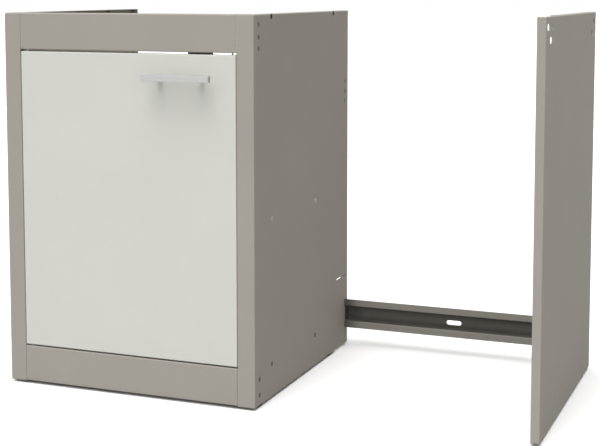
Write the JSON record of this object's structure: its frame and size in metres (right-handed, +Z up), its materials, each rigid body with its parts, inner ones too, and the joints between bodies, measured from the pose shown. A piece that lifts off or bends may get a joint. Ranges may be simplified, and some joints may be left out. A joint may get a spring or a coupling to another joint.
{
  "type": "kitchenette base cabinet",
  "caption": "Sheet-steel kitchenette base unit: a cabinet with an inset door and a bar handle, an open appliance niche to its right, an end panel and a low rear rail",
  "frame": {"origin": "on the floor, under the middle of the unit's overall box with its feet screwed in", "axes": "+X to the right as seen from the door, +Y to the back of the unit, +Z up; the door faces -Y"},
  "size_m": [1.2, 0.615, 0.832],
  "materials": {
    "carcass": "satin warm grey powder coat on sheet steel",
    "door": "satin light grey powder coat on sheet steel",
    "core": "raw paper honeycomb",
    "handle": "satin anodised",
    "zinc": "bright zinc plate",
    "dark_zinc": "black zinc plate",
    "nylon": "natural nylon",
    "black_plastic": "matte black moulding",
    "magnet": "dark sintered ferrite"
  },
  "bodies": {
    "carcass": {"left_side_panel": "carcass", "right_side_panel": "carcass", "end_panel": "carcass", "top_fascia": "carcass", "plinth": "carcass", "bottom_shelf": "carcass", "middle_shelf": "carcass", "upper_rear_rail": "carcass", "lower_rear_rail": "carcass", "niche_rail": "carcass", "upper_pivot_plate": "zinc", "lower_pivot_plate": "zinc", "upper_pivot_pin": "zinc", "lower_pivot_pin": "zinc", "foot_nut_left_front": "zinc", "foot_nut_left_rear": "zinc", "foot_nut_middle_front": "zinc", "foot_nut_middle_rear": "zinc", "foot_nut_end_front": "zinc", "foot_nut_end_rear": "zinc", "fascia_screw_1_left": "dark_zinc", "fascia_screw_1_right": "dark_zinc", "fascia_screw_2_left": "dark_zinc", "fascia_screw_2_right": "dark_zinc", "fascia_screw_3_left": "dark_zinc", "fascia_screw_3_right": "dark_zinc", "plinth_screw_1_left": "dark_zinc", "plinth_screw_1_right": "dark_zinc", "plinth_screw_2_left": "dark_zinc", "plinth_screw_2_right": "dark_zinc", "bottom_shelf_screw_1_left": "dark_zinc", "bottom_shelf_screw_1_right": "dark_zinc", "bottom_shelf_screw_2_left": "dark_zinc", "bottom_shelf_screw_2_right": "dark_zinc", "middle_shelf_screw_1_left": "dark_zinc", "middle_shelf_screw_1_right": "dark_zinc", "middle_shelf_screw_2_left": "dark_zinc", "middle_shelf_screw_2_right": "dark_zinc", "niche_rail_bolt_left": "dark_zinc", "niche_rail_bolt_right": "dark_zinc", "catch_housing": "black_plastic", "catch_magnet": "magnet"},
    "door": {"door_front_skin": "door", "door_back_panel": "door", "door_core": "core", "upper_pivot_bush": "nylon", "lower_pivot_bush": "nylon", "handle_bar": "handle", "handle_post_left": "handle", "handle_post_right": "handle", "handle_screw_left": "zinc", "handle_screw_right": "zinc", "strike_plate": "zinc"},
    "foot_left_front": {"levelling_foot_left_front": "black_plastic"},
    "foot_left_rear": {"levelling_foot_left_rear": "black_plastic"},
    "foot_middle_front": {"levelling_foot_middle_front": "black_plastic"},
    "foot_middle_rear": {"levelling_foot_middle_rear": "black_plastic"},
    "foot_end_front": {"levelling_foot_end_front": "black_plastic"},
    "foot_end_rear": {"levelling_foot_end_rear": "black_plastic"}
  },
  "joints": [
    {"name": "door_hinge", "type": "hinge", "parent": "carcass", "child": "door", "pos_m": [-0.5448, -0.2655, 0.42], "axis": [0, 0, -1], "range_deg": [0, 110]},
    {"name": "foot_left_front_height", "type": "slide", "parent": "carcass", "child": "foot_left_front", "axis": [0, 0, -1], "range_m": [0, 0.012]},
    {"name": "foot_left_rear_height", "type": "slide", "parent": "carcass", "child": "foot_left_rear", "axis": [0, 0, -1], "range_m": [0, 0.012]},
    {"name": "foot_middle_front_height", "type": "slide", "parent": "carcass", "child": "foot_middle_front", "axis": [0, 0, -1], "range_m": [0, 0.012]},
    {"name": "foot_middle_rear_height", "type": "slide", "parent": "carcass", "child": "foot_middle_rear", "axis": [0, 0, -1], "range_m": [0, 0.012]},
    {"name": "foot_end_front_height", "type": "slide", "parent": "carcass", "child": "foot_end_front", "axis": [0, 0, -1], "range_m": [0, 0.012]},
    {"name": "foot_end_rear_height", "type": "slide", "parent": "carcass", "child": "foot_end_rear", "axis": [0, 0, -1], "range_m": [0, 0.012]}
  ]
}
